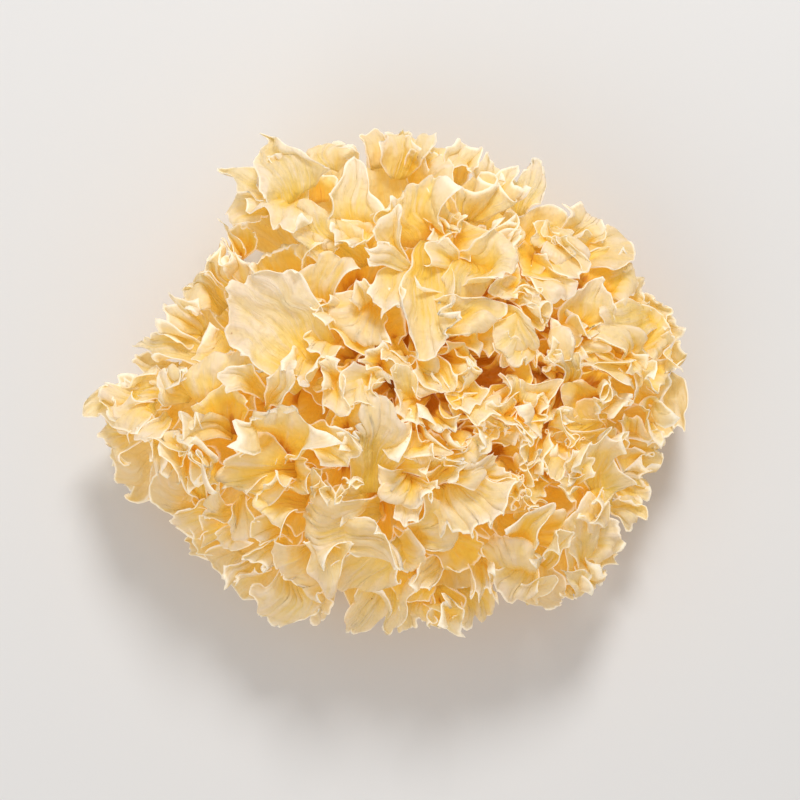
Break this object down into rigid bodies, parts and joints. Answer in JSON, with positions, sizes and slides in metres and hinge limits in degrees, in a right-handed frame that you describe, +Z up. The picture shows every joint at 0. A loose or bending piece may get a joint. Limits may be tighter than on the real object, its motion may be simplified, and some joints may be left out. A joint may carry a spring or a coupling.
{
  "type": "dried snow fungus",
  "caption": "Whole dried head of snow fungus: a dome of thin, pale, ruffled and curled fronds growing from one hard cut base.",
  "frame": {"origin": "centre of the flat cut under the base, which is the face the head rests on", "axes": "+X along the head's longest side, +Y across it, +Z up out of the cut, towards the crown"},
  "size_m": [0.1707, 0.145, 0.0734],
  "materials": {
    "hard_base": "dull",
    "lower_frond": "satin, thin and slightly see-through at the rim",
    "outer_frond": "satin, thin and slightly see-through at the rim",
    "middle_frond": "satin, thin and slightly see-through at the rim",
    "inner_frond": "satin, thin and slightly see-through at the rim",
    "crown_frond": "satin, thin and slightly see-through at the rim"
  },
  "bodies": {
    "root": {"base": "hard_base", "crown_frond_01": "crown_frond", "crown_frond_02": "crown_frond", "crown_frond_03": "crown_frond", "inner_frond_01": "inner_frond", "inner_frond_02": "inner_frond", "inner_frond_03": "inner_frond", "inner_frond_04": "inner_frond", "inner_frond_05": "inner_frond", "inner_frond_06": "inner_frond", "lower_frond_01": "lower_frond", "lower_frond_02": "lower_frond", "lower_frond_03": "lower_frond", "lower_frond_04": "lower_frond", "lower_frond_05": "lower_frond", "lower_frond_06": "lower_frond", "lower_frond_07": "lower_frond", "lower_frond_08": "lower_frond", "lower_frond_09": "lower_frond", "lower_frond_10": "lower_frond", "lower_frond_11": "lower_frond", "lower_frond_12": "lower_frond", "middle_frond_01": "middle_frond", "middle_frond_02": "middle_frond", "middle_frond_03": "middle_frond", "middle_frond_04": "middle_frond", "middle_frond_05": "middle_frond", "middle_frond_06": "middle_frond", "middle_frond_07": "middle_frond", "middle_frond_08": "middle_frond", "middle_frond_09": "middle_frond", "middle_frond_10": "middle_frond", "outer_frond_01": "outer_frond", "outer_frond_02": "outer_frond", "outer_frond_03": "outer_frond", "outer_frond_04": "outer_frond", "outer_frond_05": "outer_frond", "outer_frond_06": "outer_frond", "outer_frond_07": "outer_frond", "outer_frond_08": "outer_frond", "outer_frond_09": "outer_frond", "outer_frond_10": "outer_frond", "outer_frond_11": "outer_frond", "outer_frond_12": "outer_frond", "outer_frond_13": "outer_frond", "outer_frond_14": "outer_frond", "outer_frond_15": "outer_frond", "outer_frond_16": "outer_frond"}
  },
  "joints": []
}
